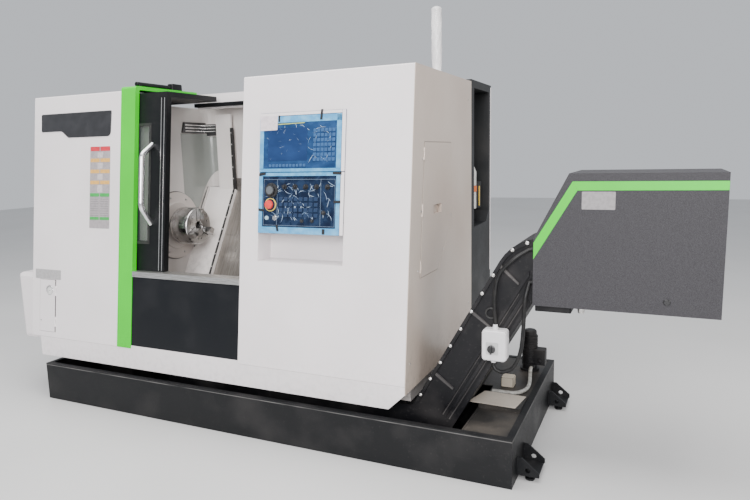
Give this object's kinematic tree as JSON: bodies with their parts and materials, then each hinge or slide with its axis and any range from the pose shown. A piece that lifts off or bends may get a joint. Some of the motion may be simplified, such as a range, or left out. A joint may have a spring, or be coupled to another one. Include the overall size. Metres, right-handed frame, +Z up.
{
  "type": "cnc turning lathe with chip conveyor",
  "caption": "Slant-bed turning lathe with white covers, black sliding door, green pillar, side control, coolant tank and inclined chip conveyor.",
  "frame": {"origin": "on the floor under the middle of the coolant tank", "axes": "+X along the spindle to the conveyor, +Y to the back of the machine, +Z up"},
  "size_m": [3.63, 1.482, 2.0503],
  "materials": {
    "coolant_tank": "satin black paint",
    "tank_lid": "dark paint",
    "tank_deck": "dark paint",
    "coolant_pump": "black paint",
    "coolant_hose": "pale hose",
    "bed_casting": "painted casting",
    "headstock_casting": "painted casting",
    "spindle": "ground steel",
    "chuck_body": "turned steel",
    "chuck_jaw_1": "machined steel",
    "chuck_jaw_2": "machined steel",
    "chuck_jaw_3": "machined steel",
    "spindle_motor": "dark paint",
    "motor_pulley": "dark iron",
    "drive_belt": "black rubber",
    "chamber_liner": "grey paint",
    "spindle_flange": "grey paint",
    "way_cover_fixed": "white paint",
    "way_cover_middle": "grey sheet steel",
    "way_cover_saddle": "grey sheet steel",
    "saddle": "painted casting",
    "cross_slide": "painted casting",
    "turret_disc": "machined steel",
    "tailstock": "painted casting",
    "tailstock_quill": "ground steel",
    "ball_screw": "ground steel",
    "chip_chute": "grey paint",
    "left_front_cover": "white powder coat",
    "left_end_cover": "white powder coat",
    "service_hatch": "white powder coat",
    "green_pillar": "green powder coat",
    "front_skirt": "white powder coat",
    "lower_front_panel": "black powder coat",
    "sill_rail": "brushed steel",
    "door_frame": "black powder coat",
    "door_window": "safety glass",
    "door_handle": "polished chrome",
    "rear_cover": "white powder coat",
    "right_front_cover": "white powder coat",
    "right_side_cover": "white powder coat",
    "side_access_door": "white powder coat",
    "display_unit": "panel under blue film",
    "keypad_unit": "panel under blue film",
    "mode_dial": "black plastic",
    "e_stop": "red plastic",
    "rear_cabinet": "dark paint",
    "signal_lamp": "wrapped lamp",
    "conveyor_casing": "black paint",
    "conveyor_belt": "dark hinged steel",
    "conveyor_head_shaft": "turned steel",
    "conveyor_hood": "speckled dark coat",
    "switch_box": "pale plastic",
    "switch_knob": "black plastic",
    "conveyor_cable_upper": "black sheath",
    "conveyor_cable_lower": "black sheath",
    "panel_selector_1": "black plastic",
    "panel_selector_2": "black plastic",
    "panel_selector_3": "black plastic",
    "panel_selector_4": "black plastic",
    "panel_selector_5": "black plastic"
  },
  "bodies": {
    "machine": {"coolant_tank": "coolant_tank", "tank_lid": "tank_lid", "tank_deck": "tank_deck", "coolant_pump": "coolant_pump", "coolant_hose": "coolant_hose", "bed_casting": "bed_casting", "headstock_casting": "headstock_casting", "spindle_motor": "spindle_motor", "drive_belt": "drive_belt", "chamber_liner": "chamber_liner", "spindle_flange": "spindle_flange", "way_cover_fixed": "way_cover_fixed", "chip_chute": "chip_chute", "left_front_cover": "left_front_cover", "left_end_cover": "left_end_cover", "green_pillar": "green_pillar", "front_skirt": "front_skirt", "lower_front_panel": "lower_front_panel", "sill_rail": "sill_rail", "rear_cover": "rear_cover", "right_front_cover": "right_front_cover", "right_side_cover": "right_side_cover", "display_unit": "display_unit", "keypad_unit": "keypad_unit", "rear_cabinet": "rear_cabinet", "signal_lamp": "signal_lamp", "conveyor_casing": "conveyor_casing", "conveyor_belt": "conveyor_belt", "conveyor_hood": "conveyor_hood", "switch_box": "switch_box", "conveyor_cable_upper": "conveyor_cable_upper", "conveyor_cable_lower": "conveyor_cable_lower"},
    "door": {"door_frame": "door_frame", "door_window": "door_window", "door_handle": "door_handle"},
    "spindle": {"spindle": "spindle", "chuck_body": "chuck_body"},
    "jaw_1": {"chuck_jaw_1": "chuck_jaw_1"},
    "jaw_2": {"chuck_jaw_2": "chuck_jaw_2"},
    "jaw_3": {"chuck_jaw_3": "chuck_jaw_3"},
    "motor_pulley": {"motor_pulley": "motor_pulley"},
    "saddle": {"saddle": "saddle", "way_cover_saddle": "way_cover_saddle"},
    "middle_cover": {"way_cover_middle": "way_cover_middle"},
    "cross_slide": {"cross_slide": "cross_slide"},
    "turret": {"turret_disc": "turret_disc"},
    "ball_screw": {"ball_screw": "ball_screw"},
    "tailstock": {"tailstock": "tailstock"},
    "quill": {"tailstock_quill": "tailstock_quill"},
    "hatch": {"service_hatch": "service_hatch"},
    "access_door": {"side_access_door": "side_access_door"},
    "mode_dial": {"mode_dial": "mode_dial"},
    "e_stop": {"e_stop": "e_stop"},
    "switch_knob": {"switch_knob": "switch_knob"},
    "head_shaft": {"conveyor_head_shaft": "conveyor_head_shaft"},
    "selector_1": {"panel_selector_1": "panel_selector_1"},
    "selector_2": {"panel_selector_2": "panel_selector_2"},
    "selector_3": {"panel_selector_3": "panel_selector_3"},
    "selector_4": {"panel_selector_4": "panel_selector_4"},
    "selector_5": {"panel_selector_5": "panel_selector_5"}
  },
  "joints": [
    {"name": "door_slide", "type": "slide", "parent": "machine", "child": "door", "axis": [1, 0, 0], "range_m": [0, 0.5]},
    {"name": "spindle_turn", "type": "hinge", "parent": "machine", "child": "spindle", "pos_m": [-0.64, -0.05, 0.945], "axis": [1, 0, 0], "continuous": true},
    {"name": "jaw_1_slide", "type": "slide", "parent": "spindle", "child": "jaw_1", "axis": [0, 0, 1], "range_m": [-0.006, 0.004]},
    {"name": "jaw_2_slide", "type": "slide", "parent": "spindle", "child": "jaw_2", "axis": [0, -0.866, -0.5], "range_m": [-0.006, 0.004]},
    {"name": "jaw_3_slide", "type": "slide", "parent": "spindle", "child": "jaw_3", "axis": [0, 0.866, -0.5], "range_m": [-0.006, 0.004]},
    {"name": "motor_pulley_turn", "type": "hinge", "parent": "machine", "child": "motor_pulley", "pos_m": [-1.27, -0.2, 0.405], "axis": [1, 0, 0], "continuous": true},
    {"name": "saddle_slide", "type": "slide", "parent": "machine", "child": "saddle", "axis": [1, 0, 0], "range_m": [-0.4, 0]},
    {"name": "middle_cover_slide", "type": "slide", "parent": "machine", "child": "middle_cover", "axis": [1, 0, 0], "range_m": [-0.16, 0]},
    {"name": "cross_slide_travel", "type": "slide", "parent": "saddle", "child": "cross_slide", "axis": [0, 0.5, 0.866], "range_m": [-0.16, 0]},
    {"name": "turret_turn", "type": "hinge", "parent": "cross_slide", "child": "turret", "pos_m": [0.025, 0.07867, 1.16787], "axis": [1, 0, 0], "continuous": true},
    {"name": "ball_screw_turn", "type": "hinge", "parent": "machine", "child": "ball_screw", "pos_m": [-0.62, 0.24355, 0.93411], "axis": [1, 0, 0], "continuous": true},
    {"name": "tailstock_slide", "type": "slide", "parent": "machine", "child": "tailstock", "axis": [1, 0, 0], "range_m": [-0.15, 0]},
    {"name": "quill_slide", "type": "slide", "parent": "tailstock", "child": "quill", "axis": [1, 0, 0], "range_m": [-0.08, 0]},
    {"name": "hatch_turn", "type": "hinge", "parent": "machine", "child": "hatch", "pos_m": [-1.2165, -0.49597, 0.375], "axis": [0, 0.1289, 0.9917], "range_deg": [0, 110]},
    {"name": "access_door_turn", "type": "hinge", "parent": "machine", "child": "access_door", "pos_m": [0.91, -0.30182, 0.78], "axis": [0, 0.1289, 0.9917], "range_deg": [-110, 0]},
    {"name": "mode_dial_turn", "type": "hinge", "parent": "machine", "child": "mode_dial", "pos_m": [0.218, -0.39692, 1.17], "axis": [0, -0.9917, 0.1289], "continuous": true},
    {"name": "e_stop_press", "type": "slide", "parent": "machine", "child": "e_stop", "axis": [0, -0.9917, 0.1289], "range_m": [-0.005, 0], "stiffness_N_per_m": 400},
    {"name": "selector_1_turn", "type": "hinge", "parent": "machine", "child": "selector_1", "pos_m": [0.288, -0.39484, 1.186], "axis": [0, -0.9917, 0.1289], "range_deg": [-60, 60]},
    {"name": "selector_2_turn", "type": "hinge", "parent": "machine", "child": "selector_2", "pos_m": [0.3442, -0.39484, 1.186], "axis": [0, -0.9917, 0.1289], "range_deg": [-60, 60]},
    {"name": "selector_3_turn", "type": "hinge", "parent": "machine", "child": "selector_3", "pos_m": [0.4004, -0.39484, 1.186], "axis": [0, -0.9917, 0.1289], "range_deg": [-60, 60]},
    {"name": "selector_4_turn", "type": "hinge", "parent": "machine", "child": "selector_4", "pos_m": [0.4566, -0.39484, 1.186], "axis": [0, -0.9917, 0.1289], "range_deg": [-60, 60]},
    {"name": "selector_5_turn", "type": "hinge", "parent": "machine", "child": "selector_5", "pos_m": [0.5128, -0.39484, 1.186], "axis": [0, -0.9917, 0.1289], "range_deg": [-60, 60]},
    {"name": "switch_knob_turn", "type": "hinge", "parent": "machine", "child": "switch_knob", "pos_m": [1.256, -0.4076, 0.524], "axis": [0, -1, 0], "range_deg": [0, 90]},
    {"name": "head_shaft_turn", "type": "hinge", "parent": "machine", "child": "head_shaft", "pos_m": [1.8, -0.34, 0.88], "axis": [0, 1, 0], "continuous": true}
  ],
  "couplings": [
    {"joint": "motor_pulley_turn", "follows": "spindle_turn", "ratio": 1.4167},
    {"joint": "jaw_2_slide", "follows": "jaw_1_slide", "ratio": 1},
    {"joint": "jaw_3_slide", "follows": "jaw_1_slide", "ratio": 1},
    {"joint": "middle_cover_slide", "follows": "saddle_slide", "ratio": 0.4},
    {"joint": "ball_screw_turn", "follows": "saddle_slide", "rad_per_m": 628.32}
  ]
}
